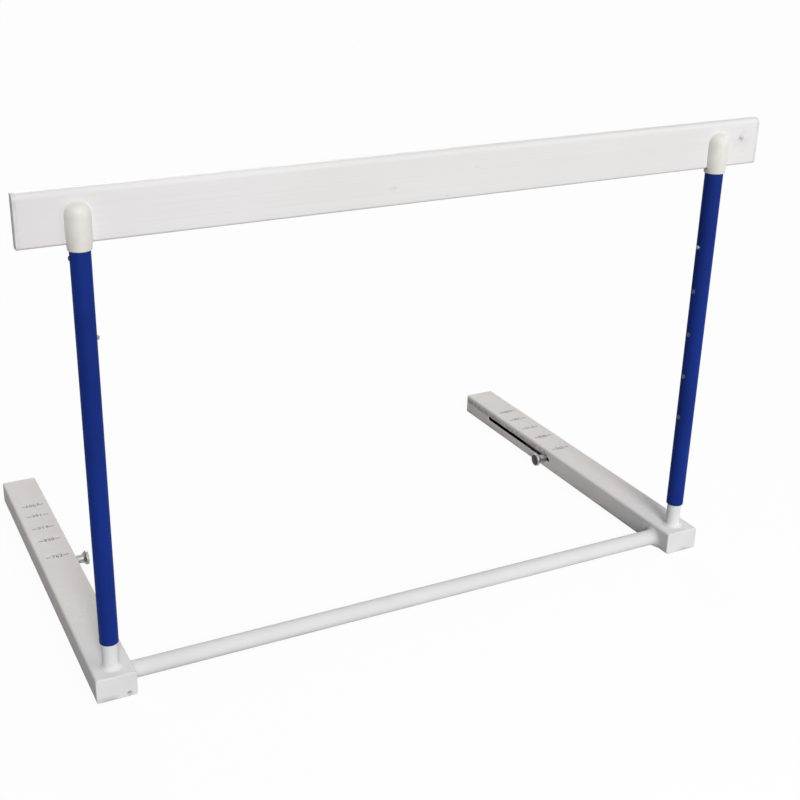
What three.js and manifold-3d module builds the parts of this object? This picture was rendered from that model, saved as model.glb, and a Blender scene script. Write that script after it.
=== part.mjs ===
// Track hurdle, adjustable to five heights and shown at its lowest.
// Millimetres. +Z is up, +X runs along the crossbar to the right, +Y runs back along the legs.
// The origin is the middle of the rectangle that the two legs stand on.

import * as THREE from 'three';
import { mergeVertices } from 'three/addons/utils/BufferGeometryUtils.js';
import Module from 'manifold-3d';

// Crossbar: a hollow board with two webs, closed by a plug at each end
const BAR_TOP_HEIGHT = 762;
const BAR_OVERHANG = 81.5;
const BAR_HEIGHT = 73;
const BAR_THICKNESS = 16;
const BAR_WALL = 2.6;
const BAR_WEB = 2.2;
const BAR_CHAMBERS = 3;
const BAR_TOP_RADIUS = 9;
const BAR_BACK_RADIUS = 3;
const BAR_BOTTOM_RADIUS = 4;
const BAR_AHEAD_OF_POST = 0.5;
const PLUG_FLANGE = 5;
const PLUG_DEPTH = 22;
const PLUG_WALL = 1.6;

// Posts: a blue outer tube slides on a white inner tube that stands on the leg
const POST_SPACING = 1037;
const POST_SETBACK = 29;
const OUTER_TUBE_DIAMETER = 28.6;
const OUTER_TUBE_WALL = 1.5;
const OUTER_TUBE_CLEARANCE = 43.6;
const BUSH_WALL = 0.6;
const BUSH_LENGTH = 30;
const INNER_TUBE_WALL = 1.5;
const INNER_TUBE_ABOVE_BUTTON = 36;
const GLIDE_HEAD = 8;
const GLIDE_SPIGOT = 12;
const GLIDE_EDGE = 1;

// Height holes: the button sits in the top hole at the lowest height
const HEIGHT_STEP = 76.2;
const HEIGHT_COUNT = 5;
const TOP_HOLE_BELOW_RIM = 123.2;
const BUTTON_DIAMETER = 6.4;
const BUTTON_GAP = 0.3;
const BUTTON_STANDOUT = 3.6;
const BUTTON_FLANGE_DIAMETER = 9.4;
const BUTTON_FLANGE_THICKNESS = 1.5;
const SPRING_THICKNESS = 0.8;
const SPRING_WIDTH = 8;
const SPRING_LEG = 38;
const SPRING_TIP = 8;

// Caps: a spigot in the outer tube, a flared socket and a half dome in front of the bar
const CAP_COLLAR = 7.8;
const CAP_OVERHANG = 2;
const CAP_FLARE = 1.5;
const CAP_FLARE_HEIGHT = 30;
const CAP_SHOULDER_HEIGHT = 44;
const CAP_DOME = 19;
const CAP_DOME_FULLNESS = 2.5;
const CAP_LIP = 1.5;
const CAP_SPIGOT_EDGE = 0.8;
const CAP_SPIGOT_LENGTH = 36;
const CAP_SPIGOT_WALL = 3;
const CAP_FLOOR = 3;
const CAP_SCREW_BELOW_RIM = 10;
const CAP_SCREW_DIAMETER = 3.5;
const CAP_SCREW_LENGTH = 7;
const CAP_SCREW_HEAD_DIAMETER = 7;
const CAP_SCREW_HEAD = 1.9;

// Screws that hold the bar to each cap from behind
const BAR_SCREW_DIAMETER = 4.8;
const BAR_SCREW_REACH = 11;
const BAR_SCREW_HEAD_DIAMETER = 9.4;
const BAR_SCREW_HEAD = 3;
const BAR_SCREW_LOW = 12;
const BAR_SCREW_PITCH = 22;
const WASHER_DIAMETER = 15;
const WASHER_THICKNESS = 1.2;

// Legs: rectangular tubes closed by end plates
const LEG_PAST_SLOT = 89.5;
const LEG_WIDTH = 62.5;
const LEG_HEIGHT = 40;
const LEG_WALL = 2;
const LEG_CORNER_RADIUS = 4;
const END_PLATE = 3.5;
const END_PLATE_BEVEL = 1.2;

// Cross tube between the legs
const CROSS_TUBE_DIAMETER = 26.9;
const CROSS_TUBE_WALL = 1.5;
const CROSS_TUBE_BEHIND_POST = 14;
const CROSS_TUBE_ABOVE_GROUND = 0.5;
const FOOT_WELD = 2.5;
const CROSS_WELD_REACH = 9;
const CROSS_WELD_LENGTH = 12;
const CROSS_WELD_ABOVE_GROUND = 0.2;

// Counterweight, its slot in the leg and its clamping knob
const FIRST_MARK = 344.7;
const MARK_STEPS = [61.4, 47.6, 47.9, 41.7];
const SLOT_WIDTH = 9;
const SLOT_ABOVE_GROUND = 21;
const SLOT_PAST_FIRST_MARK = 7.4;
const SLOT_PAST_LAST_MARK = 25.2;
const WEIGHT_LENGTH = 150;
const WEIGHT_SIDE_SPACE = 3;
const WEIGHT_TOP_SPACE = 3.6;
const WEIGHT_EDGE = 3;
const KNOB_BEHIND_FIRST_MARK = 7.3;
const KNOB_HEAD_DIAMETER = 24.6;
const KNOB_RIM = 4.3;
const KNOB_DOME = 1.7;
const KNOB_STEM_DIAMETER = 15.5;
const KNOB_STEM = 13;
const KNOB_FLARE = 7;
const KNOB_EDGE = 0.8;
const KNOB_SHANK_DIAMETER = 8;
const KNOB_THREAD_DEPTH = 20;

// Clearances
const SEAT_GAP = 0.2;
const RUN_GAP = 0.25;
const SCREW_GAP = 0.25;
const WEIGHT_GAP = 0.4;

// Steps round a full turn
const CAP_STEPS = 40;
const TUBE_STEPS = 32;
const KNOB_STEPS = 24;
const HOLE_STEPS = 16;
const SCREW_STEPS = 12;

// Sizes and places that follow from the ones above
const barLength = POST_SPACING + 2 * BAR_OVERHANG;
const barBottom = BAR_TOP_HEIGHT - BAR_HEIGHT;
const rimHeight = barBottom - CAP_COLLAR;
const tubeBottom = LEG_HEIGHT + OUTER_TUBE_CLEARANCE;
const buttonHeight = rimHeight - TOP_HOLE_BELOW_RIM;
const outerRadius = OUTER_TUBE_DIAMETER / 2;
const outerBore = outerRadius - OUTER_TUBE_WALL;
const bushRadius = outerBore - SEAT_GAP;
const innerRadius = bushRadius - BUSH_WALL - RUN_GAP;
const innerBore = innerRadius - INNER_TUBE_WALL;
const innerTop = buttonHeight + INNER_TUBE_ABOVE_BUTTON;
const heightHole = BUTTON_DIAMETER + 2 * BUTTON_GAP;
const capRim = outerRadius + CAP_OVERHANG;
const capScrewHole = CAP_SCREW_DIAMETER + 2 * SCREW_GAP;
const capShoulder = capRim + CAP_FLARE;
const markDistances = [FIRST_MARK];
MARK_STEPS.forEach((step, i) => markDistances.push(markDistances[i] + step));
const lastMark = markDistances[MARK_STEPS.length];
const slotFront = FIRST_MARK - SLOT_PAST_FIRST_MARK;
const slotRear = lastMark + SLOT_PAST_LAST_MARK;
const legLength = POST_SETBACK + slotRear + LEG_PAST_SLOT;
const legFront = -legLength / 2;
const postY = legFront + POST_SETBACK;
const barFront = postY - BAR_AHEAD_OF_POST;
const barBack = barFront + BAR_THICKNESS;
const crossTubeHeight = CROSS_TUBE_ABOVE_GROUND + CROSS_TUBE_DIAMETER / 2;
const legInnerX = (POST_SPACING - LEG_WIDTH) / 2;
const knobDistance = FIRST_MARK + KNOB_BEHIND_FIRST_MARK;
const weightWidth = LEG_WIDTH - 2 * LEG_WALL - 2 * WEIGHT_SIDE_SPACE;
const weightHeight = LEG_HEIGHT - 2 * LEG_WALL - WEIGHT_GAP - WEIGHT_TOP_SPACE;
const SIDES = [
  { name: 'left', sign: -1 },
  { name: 'right', sign: 1 },
];

const wasm = await Module();
wasm.setup();

// A closed solid from a geometry, with its shared points merged and slivers of no area dropped
function solid(geometry) {
  const bare = geometry.clone();
  bare.deleteAttribute('normal');
  bare.deleteAttribute('uv');
  const merged = mergeVertices(bare);
  const index = merged.index.array;
  const corners = [];
  for (let i = 0; i < index.length; i += 3) {
    const [a, b, c] = [index[i], index[i + 1], index[i + 2]];
    if (a !== b && b !== c && c !== a) corners.push(a, b, c);
  }
  const mesh = new wasm.Mesh({
    numProp: 3,
    vertProperties: merged.attributes.position.array,
    triVerts: new Uint32Array(corners),
  });
  return new wasm.Manifold(mesh);
}

function geometryOf(body) {
  const mesh = body.getMesh();
  const geometry = new THREE.BufferGeometry();
  geometry.setAttribute('position', new THREE.BufferAttribute(mesh.vertProperties, 3));
  geometry.setIndex(new THREE.BufferAttribute(mesh.triVerts, 1));
  geometry.computeVertexNormals();
  return geometry;
}

// Cuts every tool from the body
function cut(body, tools) {
  return tools.reduce((rest, tool) => rest.subtract(tool), body);
}

const X_AXIS = new THREE.Vector3(1, 0, 0);
const Y_AXIS = new THREE.Vector3(0, 1, 0);
const Z_AXIS = new THREE.Vector3(0, 0, 1);

// A revolved geometry round Z from [radius, height] pairs that run up the outside
function revolve(profile, steps) {
  const points = profile.map(([r, z]) => new THREE.Vector2(r, z));
  return new THREE.LatheGeometry(points, steps).rotateX(Math.PI / 2);
}

// The same, turned so that the heights of the profile run along +X or -X
function revolveAlongX(profile, steps, sign) {
  return revolve(profile, steps).rotateY((sign * Math.PI) / 2);
}

function ring(outer, inner, bottom, top, steps) {
  return revolve([[inner, bottom], [outer, bottom], [outer, top], [inner, top], [inner, bottom]], steps);
}

function rod(radius, from, to, steps) {
  return revolve([[0, from], [radius, from], [radius, to], [0, to]], steps);
}

// A round tool from the axis out through the wall on the side that the sign points to
function sideHole(diameter, reach, height, sign) {
  const r = diameter / 2;
  const tool = revolveAlongX([[0, 0], [r, 0], [r, reach], [0, reach]], HOLE_STEPS, sign);
  return solid(tool.translate(0, 0, height));
}

// A drawing in (Y, Z), extruded along +X from the plane X = 0
function extrudeAlongX(shape, length, steps) {
  const settings = { depth: length, bevelEnabled: false, curveSegments: steps };
  const toX = new THREE.Matrix4().makeBasis(Y_AXIS, Z_AXIS, X_AXIS);
  return new THREE.ExtrudeGeometry(shape, settings).applyMatrix4(toX);
}

// A drawing in (X, Z), extruded along -Y from the plane Y = 0
function extrudeAlongY(shape, settings) {
  const toY = new THREE.Matrix4().makeBasis(X_AXIS, Z_AXIS, Y_AXIS.clone().negate());
  return new THREE.ExtrudeGeometry(shape, { curveSegments: 3, ...settings }).applyMatrix4(toY);
}

// A corner radius that its wall has room for
function fillet(radius, width) {
  return Math.min(Math.max(radius, width / 40), width * 0.49);
}

// A rectangle about (0, bottom + height / 2) with its own radius at the bottom and at each top corner
function roundedRectangle(width, bottom, height, topRadius, bottomRadius, topRight = topRadius) {
  const half = width / 2;
  const top = bottom + height;
  const shape = new THREE.Shape();
  shape.moveTo(-half + bottomRadius, bottom);
  shape.lineTo(half - bottomRadius, bottom);
  shape.absarc(half - bottomRadius, bottom + bottomRadius, bottomRadius, -Math.PI / 2, 0);
  shape.lineTo(half, top - topRight);
  shape.absarc(half - topRight, top - topRight, topRight, 0, Math.PI / 2);
  shape.lineTo(-half + topRadius, top);
  shape.absarc(-half + topRadius, top - topRadius, topRadius, Math.PI / 2, Math.PI);
  shape.lineTo(-half, bottom + bottomRadius);
  shape.absarc(-half + bottomRadius, bottom + bottomRadius, bottomRadius, Math.PI, 1.5 * Math.PI);
  return shape;
}

// Finishes and colours
const FINISHES = {
  board: { color: '#e6e4e2', roughness: 0.42, metalness: 0 },
  plug: { color: '#dcdad8', roughness: 0.5, metalness: 0 },
  cap: { color: '#e6e4da', roughness: 0.45, metalness: 0 },
  blue: { color: '#1f3480', roughness: 0.35, metalness: 0.1 },
  white: { color: '#e3e2e0', roughness: 0.4, metalness: 0.1 },
  nylon: { color: '#d9d7cf', roughness: 0.6, metalness: 0 },
  zinc: { color: '#a9abae', roughness: 0.35, metalness: 0.9 },
  dark: { color: '#2a2c33', roughness: 0.4, metalness: 0.7 },
  spring: { color: '#8d9094', roughness: 0.3, metalness: 0.9 },
  iron: { color: '#55565a', roughness: 0.7, metalness: 0.6 },
};

const hurdle = new THREE.Group();

function addPiece(name, body, finish, parent) {
  const mesh = new THREE.Mesh(geometryOf(body), new THREE.MeshStandardMaterial(FINISHES[finish]));
  mesh.name = name;
  parent.add(mesh);
  return mesh;
}

// Crossbar

// The board's section, or the same drawn in by an inset on all sides. Its top edge is rounder in front.
function barSection(inset) {
  const width = BAR_THICKNESS - 2 * inset;
  const topRadius = fillet(BAR_TOP_RADIUS - inset, 1.25 * width);
  const backRadius = fillet(BAR_BACK_RADIUS - inset, 0.75 * width);
  const bottomRadius = fillet(BAR_BOTTOM_RADIUS - inset, width);
  return roundedRectangle(width, inset, BAR_HEIGHT - 2 * inset, topRadius, bottomRadius, backRadius);
}

// The spaces between the webs, drawn in by an inset, as one tool of the given length
function barChambers(inset, length) {
  const core = solid(extrudeAlongX(barSection(BAR_WALL + inset), length, 4));
  const pitch = (BAR_HEIGHT - 2 * BAR_WALL + BAR_WEB) / BAR_CHAMBERS;
  const webs = [];
  for (let i = 1; i < BAR_CHAMBERS; i += 1) {
    const web = new THREE.BoxGeometry(3 * length, 2 * BAR_THICKNESS, BAR_WEB + 2 * inset);
    webs.push(solid(web.translate(0, 0, BAR_WALL - BAR_WEB / 2 + i * pitch)));
  }
  return cut(core, webs);
}

const barScrewHeights = [BAR_SCREW_LOW, BAR_SCREW_LOW + BAR_SCREW_PITCH];
const barScrewHole = BAR_SCREW_DIAMETER / 2 + SCREW_GAP;

// Holes through the board for the two screws of one side
function barScrewHoles(x) {
  return barScrewHeights.map((height) => {
    const hole = rod(barScrewHole, -BAR_THICKNESS, BAR_THICKNESS, HOLE_STEPS);
    return solid(hole.rotateX(-Math.PI / 2).translate(x, 0, height));
  });
}

function makeCrossbar() {
  const length = barLength - 2 * PLUG_FLANGE;
  const board = solid(extrudeAlongX(barSection(0), length, 4).translate(-length / 2, 0, 0));
  const hollow = barChambers(0, 2 * length).translate(-length, 0, 0);
  const holes = SIDES.flatMap((side) => barScrewHoles((side.sign * POST_SPACING) / 2));
  return cut(board, [hollow, ...holes]);
}

// One end plug, drawn for the right end with its flange outside at X = 0 and mirrored for the left
function makeBarPlug(side) {
  const flange = solid(extrudeAlongX(barSection(0), PLUG_FLANGE, 4));
  const spigots = barChambers(SEAT_GAP, PLUG_DEPTH + PLUG_FLANGE / 2).translate(-PLUG_DEPTH, 0, 0);
  const hollows = barChambers(SEAT_GAP + PLUG_WALL, 2 * PLUG_DEPTH).translate(-2 * PLUG_DEPTH, 0, 0);
  const plug = flange.add(cut(spigots, [hollows]));
  return side.sign > 0 ? plug : plug.mirror([1, 0, 0]);
}

function addCrossbar() {
  const bar = new THREE.Group();
  bar.position.set(0, (barFront + barBack) / 2, barBottom);
  hurdle.add(bar);
  addPiece('crossbar', makeCrossbar(), 'board', bar);
  for (const side of SIDES) {
    const plug = addPiece(`${side.name}_bar_plug`, makeBarPlug(side), 'plug', bar);
    plug.position.x = side.sign * (barLength / 2 - PLUG_FLANGE);
  }
}

// Caps, drawn with the outer tube's rim at height 0 on the post's axis

function capProfile() {
  const spigot = outerBore - SEAT_GAP;
  const bore = spigot - CAP_SPIGOT_WALL;
  const edge = CAP_SPIGOT_EDGE;
  const profile = [[0, CAP_FLOOR], [bore, CAP_FLOOR], [bore, -CAP_SPIGOT_LENGTH]];
  profile.push([spigot - edge, -CAP_SPIGOT_LENGTH], [spigot, edge - CAP_SPIGOT_LENGTH], [spigot, 0]);
  const lipSteps = 2;
  for (let i = 0; i <= lipSteps; i += 1) {
    const angle = (i / lipSteps) * (Math.PI / 2);
    profile.push([capRim - CAP_LIP * (1 - Math.sin(angle)), CAP_LIP * (1 - Math.cos(angle))]);
  }
  const flareSteps = 3;
  for (let i = 1; i <= flareSteps; i += 1) {
    const t = i / flareSteps;
    const swell = 1 - (1 - t) ** 2;
    profile.push([capRim + CAP_FLARE * swell, CAP_LIP + (CAP_FLARE_HEIGHT - CAP_LIP) * t]);
  }
  const domeSteps = 7;
  const power = 2 / CAP_DOME_FULLNESS;
  for (let i = 0; i <= domeSteps; i += 1) {
    const angle = (i / domeSteps) * (Math.PI / 2);
    const radius = i === domeSteps ? 0 : capShoulder * Math.cos(angle) ** power;
    profile.push([radius, CAP_SHOULDER_HEIGHT + CAP_DOME * Math.sin(angle) ** power]);
  }
  return profile;
}

// The bar's seat: everything behind the bar's front face and above its underside
function barSeat() {
  const wide = 4 * capShoulder;
  const tall = 2 * (CAP_SHOULDER_HEIGHT + CAP_DOME);
  const seat = new THREE.BoxGeometry(wide, wide, tall);
  return solid(seat.translate(0, wide / 2 - BAR_AHEAD_OF_POST, CAP_COLLAR - SEAT_GAP + tall / 2));
}

function makeCap(side) {
  const body = solid(revolve(capProfile(), CAP_STEPS));
  const bores = barScrewHeights.map((height) => {
    const bore = rod(barScrewHole, -BAR_THICKNESS, BAR_SCREW_REACH + SCREW_GAP, HOLE_STEPS);
    return solid(bore.rotateX(Math.PI / 2).translate(0, -BAR_AHEAD_OF_POST, CAP_COLLAR + height));
  });
  const pilot = sideHole(capScrewHole, OUTER_TUBE_DIAMETER, -CAP_SCREW_BELOW_RIM, side.sign);
  return cut(body, [barSeat(), ...bores, pilot]);
}

// A round-headed screw whose head rests on height 0 and whose shank runs down
function screwProfile(diameter, length, headDiameter, head) {
  const r = diameter / 2;
  const profile = [[0, -length], [r * 0.4, -length], [r, -length + r], [r, 0], [headDiameter / 2, 0]];
  const steps = 4;
  for (let i = 1; i <= steps; i += 1) {
    const angle = (i / steps) * (Math.PI / 2);
    const radius = i === steps ? 0 : (headDiameter / 2) * Math.cos(angle);
    profile.push([radius, head * Math.sin(angle)]);
  }
  return profile;
}

function addCap(side) {
  const group = new THREE.Group();
  group.position.set((side.sign * POST_SPACING) / 2, postY, rimHeight);
  hurdle.add(group);
  addPiece(`${side.name}_cap`, makeCap(side), 'cap', group);

  const screw = screwProfile(CAP_SCREW_DIAMETER, CAP_SCREW_LENGTH, CAP_SCREW_HEAD_DIAMETER, CAP_SCREW_HEAD);
  const capScrew = solid(revolveAlongX(screw, SCREW_STEPS, side.sign));
  const seat = side.sign * (outerRadius + SEAT_GAP);
  addPiece(`${side.name}_cap_screw`, capScrew, 'dark', group).position.set(seat, 0, -CAP_SCREW_BELOW_RIM);

  barScrewHeights.forEach((height, i) => {
    const place = i === 0 ? 'lower' : 'upper';
    const back = BAR_THICKNESS - BAR_AHEAD_OF_POST;
    const washer = solid(
      ring(WASHER_DIAMETER / 2, barScrewHole, 0, WASHER_THICKNESS, HOLE_STEPS).rotateX(-Math.PI / 2),
    );
    const washerPiece = addPiece(`${side.name}_${place}_washer`, washer, 'zinc', group);
    washerPiece.position.set(0, back, CAP_COLLAR + height);
    const length = BAR_THICKNESS + WASHER_THICKNESS + BAR_SCREW_REACH;
    const profile = screwProfile(BAR_SCREW_DIAMETER, length, BAR_SCREW_HEAD_DIAMETER, BAR_SCREW_HEAD);
    const barScrew = solid(revolve(profile, SCREW_STEPS).rotateX(-Math.PI / 2));
    const screwPiece = addPiece(`${side.name}_${place}_bar_screw`, barScrew, 'zinc', group);
    screwPiece.position.set(0, back + WASHER_THICKNESS, CAP_COLLAR + height);
  });
}

// Posts, drawn on the post's axis with heights from the ground

function makeOuterTube(side) {
  const tube = solid(ring(outerRadius, outerBore, tubeBottom, rimHeight - SEAT_GAP, TUBE_STEPS));
  const reach = OUTER_TUBE_DIAMETER;
  const holes = [];
  for (let i = 0; i < HEIGHT_COUNT; i += 1) {
    holes.push(sideHole(heightHole, reach, buttonHeight - i * HEIGHT_STEP, -side.sign));
  }
  holes.push(sideHole(capScrewHole, reach, rimHeight - CAP_SCREW_BELOW_RIM, side.sign));
  return cut(tube, holes);
}

// The foot flares into the weld that holds the tube on the leg
function makeInnerTube(side) {
  const foot = LEG_HEIGHT;
  const weld = [];
  const steps = 4;
  for (let i = 0; i <= steps; i += 1) {
    const angle = (i / steps) * (Math.PI / 2);
    weld.push([innerRadius + FOOT_WELD * (1 - Math.sin(angle)), foot + FOOT_WELD * (1 - Math.cos(angle))]);
  }
  const bore = [[innerBore, innerTop], [innerBore, foot]];
  const profile = [[innerBore, foot], ...weld, [innerRadius, innerTop], ...bore];
  const tube = solid(revolve(profile, TUBE_STEPS));
  return cut(tube, [sideHole(heightHole, innerRadius * 2, buttonHeight, -side.sign)]);
}

function makeBush() {
  const top = tubeBottom + BUSH_LENGTH;
  return solid(ring(bushRadius, innerRadius + RUN_GAP, tubeBottom, top, KNOB_STEPS));
}

function makeGlidePlug() {
  const spigot = innerBore - SEAT_GAP;
  const head = outerBore - RUN_GAP;
  const edge = GLIDE_EDGE;
  const profile = [[0, innerTop - GLIDE_SPIGOT], [spigot - edge, innerTop - GLIDE_SPIGOT]];
  profile.push([spigot, innerTop - GLIDE_SPIGOT + edge], [spigot, innerTop], [head, innerTop]);
  profile.push([head, innerTop + GLIDE_HEAD - edge], [head - edge, innerTop + GLIDE_HEAD]);
  profile.push([0, innerTop + GLIDE_HEAD]);
  return solid(revolve(profile, KNOB_STEPS));
}

// The flange bears on the inner tube's bore, so its face lies where the bore is as wide as it is
const flangeReach = Math.sqrt(innerBore ** 2 - (BUTTON_FLANGE_DIAMETER / 2) ** 2) - SEAT_GAP;

function makeButton(side) {
  const r = BUTTON_DIAMETER / 2;
  const tip = outerRadius + BUTTON_STANDOUT;
  const back = flangeReach - BUTTON_FLANGE_THICKNESS;
  const flange = BUTTON_FLANGE_DIAMETER / 2;
  const dome = r * 0.7;
  const profile = [[0, back], [flange, back], [flange, flangeReach], [r, flangeReach]];
  const steps = 4;
  for (let i = 0; i <= steps; i += 1) {
    const angle = (i / steps) * (Math.PI / 2);
    profile.push([i === steps ? 0 : r * Math.cos(angle), tip - dome + dome * Math.sin(angle)]);
  }
  return solid(revolveAlongX(profile, SCREW_STEPS, -side.sign));
}

// A strip bent to a U: the long leg lies behind the button, the other on the far side of the bore
function makeSpring(side) {
  const front = flangeReach - BUTTON_FLANGE_THICKNESS;
  const back = SEAT_GAP - Math.sqrt(innerBore ** 2 - (SPRING_WIDTH / 2) ** 2);
  const centre = (front + back) / 2;
  const bend = (front - back) / 2;
  const inside = bend - SPRING_THICKNESS;
  const shape = new THREE.Shape();
  shape.moveTo(front, SPRING_TIP);
  shape.lineTo(front - SPRING_THICKNESS, SPRING_TIP);
  shape.lineTo(front - SPRING_THICKNESS, -SPRING_LEG);
  shape.absarc(centre, -SPRING_LEG, inside, 0, -Math.PI, true);
  shape.lineTo(back + SPRING_THICKNESS, SPRING_TIP);
  shape.lineTo(back, SPRING_TIP);
  shape.lineTo(back, -SPRING_LEG);
  shape.absarc(centre, -SPRING_LEG, bend, Math.PI, 2 * Math.PI);
  const strip = extrudeAlongY(shape, { depth: SPRING_WIDTH, bevelEnabled: false, curveSegments: 5 });
  strip.translate(0, SPRING_WIDTH / 2, 0);
  if (side.sign > 0) strip.rotateZ(Math.PI);
  return solid(strip.translate(0, 0, buttonHeight));
}

function addPost(side) {
  const post = new THREE.Group();
  post.position.set((side.sign * POST_SPACING) / 2, postY, 0);
  hurdle.add(post);
  addPiece(`${side.name}_outer_tube`, makeOuterTube(side), 'blue', post);
  addPiece(`${side.name}_guide_bush`, makeBush(), 'nylon', post);
  addPiece(`${side.name}_inner_tube`, makeInnerTube(side), 'white', post);
  addPiece(`${side.name}_glide_plug`, makeGlidePlug(), 'nylon', post);
  addPiece(`${side.name}_snap_button`, makeButton(side), 'zinc', post).position.z = buttonHeight;
  addPiece(`${side.name}_snap_spring`, makeSpring(side), 'spring', post);
}

// Legs, drawn with Y measured back from the post's axis and the leg's middle at X = 0

function legSection(inset) {
  const radius = fillet(LEG_CORNER_RADIUS - inset, LEG_HEIGHT - 2 * inset);
  return roundedRectangle(LEG_WIDTH - 2 * inset, inset, LEG_HEIGHT - 2 * inset, radius, radius);
}

// The slot runs past the first and last marks
function slotTool(sign) {
  const r = SLOT_WIDTH / 2;
  const outline = new THREE.Shape();
  outline.absarc(slotFront + r, SLOT_ABOVE_GROUND, r, Math.PI / 2, 1.5 * Math.PI);
  outline.absarc(slotRear - r, SLOT_ABOVE_GROUND, r, -Math.PI / 2, Math.PI / 2);
  const start = sign > 0 ? 0 : -LEG_WIDTH;
  return solid(extrudeAlongX(outline, LEG_WIDTH, 6).translate(start, 0, 0));
}

function makeLegTube(side) {
  const length = legLength - 2 * END_PLATE;
  const section = legSection(0);
  section.holes.push(legSection(LEG_WALL));
  const tube = extrudeAlongY(section, { depth: length, bevelEnabled: false });
  const placed = solid(tube.translate(0, length + END_PLATE - POST_SETBACK, 0));
  return cut(placed, [slotTool(-side.sign)]);
}

// The end plate's edges are bevelled for its weld
function makeEndPlate() {
  const bevel = END_PLATE_BEVEL;
  const settings = {
    depth: END_PLATE - 2 * bevel,
    bevelEnabled: true,
    bevelThickness: bevel,
    bevelSize: bevel,
    bevelOffset: -bevel,
    bevelSegments: 2,
  };
  return solid(extrudeAlongY(legSection(0), settings).translate(0, END_PLATE - bevel, 0));
}

function makeWeight(side) {
  const floor = LEG_WALL + WEIGHT_GAP;
  const block = roundedRectangle(weightWidth, floor, weightHeight, WEIGHT_EDGE, WEIGHT_EDGE);
  const body = extrudeAlongY(block, { depth: WEIGHT_LENGTH, bevelEnabled: false });
  const placed = solid(body.translate(0, knobDistance + WEIGHT_LENGTH / 2, 0));
  const hole = sideHole(KNOB_SHANK_DIAMETER + 2 * SCREW_GAP, LEG_WIDTH, SLOT_ABOVE_GROUND, -side.sign);
  return cut(placed, [hole.translate(0, knobDistance, 0)]);
}

// The knob's stem bears on the leg's inner wall at distance 0, its shank runs into the weight
function knobProfile() {
  const head = KNOB_HEAD_DIAMETER / 2;
  const stem = KNOB_STEM_DIAMETER / 2;
  const shank = KNOB_SHANK_DIAMETER / 2;
  const edge = KNOB_EDGE;
  const end = -KNOB_THREAD_DEPTH;
  const profile = [[0, end], [shank - edge, end], [shank, end + edge], [shank, SEAT_GAP], [stem, SEAT_GAP]];
  const flareSteps = 4;
  for (let i = 0; i <= flareSteps; i += 1) {
    const t = i / flareSteps;
    profile.push([stem + (head - stem) * t ** 2, KNOB_STEM + KNOB_FLARE * t]);
  }
  const face = KNOB_STEM + KNOB_FLARE + KNOB_RIM;
  profile.push([head, face - edge], [head - edge, face]);
  const domeSteps = 3;
  for (let i = 1; i <= domeSteps; i += 1) {
    const angle = (i / domeSteps) * (Math.PI / 2);
    const radius = i === domeSteps ? 0 : (head - edge) * Math.cos(angle);
    profile.push([radius, face + KNOB_DOME * Math.sin(angle)]);
  }
  return profile;
}

function addLeg(side) {
  const leg = new THREE.Group();
  leg.position.set((side.sign * POST_SPACING) / 2, postY, 0);
  hurdle.add(leg);
  addPiece(`${side.name}_leg_tube`, makeLegTube(side), 'white', leg);
  const plates = [['front', -POST_SETBACK], ['rear', legLength - POST_SETBACK - END_PLATE]];
  for (const [end, y] of plates) {
    addPiece(`${side.name}_leg_${end}_plate`, makeEndPlate(), 'white', leg).position.y = y;
  }
  addPiece(`${side.name}_counterweight`, makeWeight(side), 'iron', leg);
  const knob = solid(revolveAlongX(knobProfile(), KNOB_STEPS, -side.sign));
  const wall = (-side.sign * LEG_WIDTH) / 2;
  addPiece(`${side.name}_clamp_knob`, knob, 'zinc', leg).position.set(wall, knobDistance, SLOT_ABOVE_GROUND);
}

// The cross tube's ends flare into the welds on the legs' inner walls, flat along the ground
function makeCrossTube() {
  const r = CROSS_TUBE_DIAMETER / 2;
  const bore = r - CROSS_TUBE_WALL;
  const steps = 4;
  const weld = [];
  for (let i = 0; i <= steps; i += 1) {
    const angle = (i / steps) * (Math.PI / 2);
    weld.push([r + CROSS_WELD_REACH * (1 - Math.sin(angle)), CROSS_WELD_LENGTH * (1 - Math.cos(angle))]);
  }
  const lower = weld.map(([radius, along]) => [radius, along - legInnerX]);
  const upper = weld.map(([radius, along]) => [radius, legInnerX - along]).reverse();
  const profile = [[bore, -legInnerX], ...lower, ...upper, [bore, legInnerX], [bore, -legInnerX]];
  const tube = solid(revolveAlongX(profile, TUBE_STEPS, 1));
  const width = 4 * CROSS_WELD_REACH + CROSS_TUBE_DIAMETER;
  const below = new THREE.BoxGeometry(POST_SPACING, width, CROSS_WELD_REACH + crossTubeHeight);
  const ground = CROSS_WELD_ABOVE_GROUND - crossTubeHeight;
  below.translate(0, 0, ground - (CROSS_WELD_REACH + crossTubeHeight) / 2);
  return cut(tube, [solid(below)]);
}

addCrossbar();
for (const side of SIDES) {
  addCap(side);
  addPost(side);
  addLeg(side);
}
const crossTube = addPiece('cross_tube', makeCrossTube(), 'white', hurdle);
crossTube.position.set(0, postY + CROSS_TUBE_BEHIND_POST, crossTubeHeight);

export default hurdle;
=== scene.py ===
"""Looks of the track hurdle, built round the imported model. Sizes are in millimetres."""

import math

import bmesh
import bpy
import numpy as np
from mathutils import Matrix, Vector
from mathutils.geometry import tessellate_polygon


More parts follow.
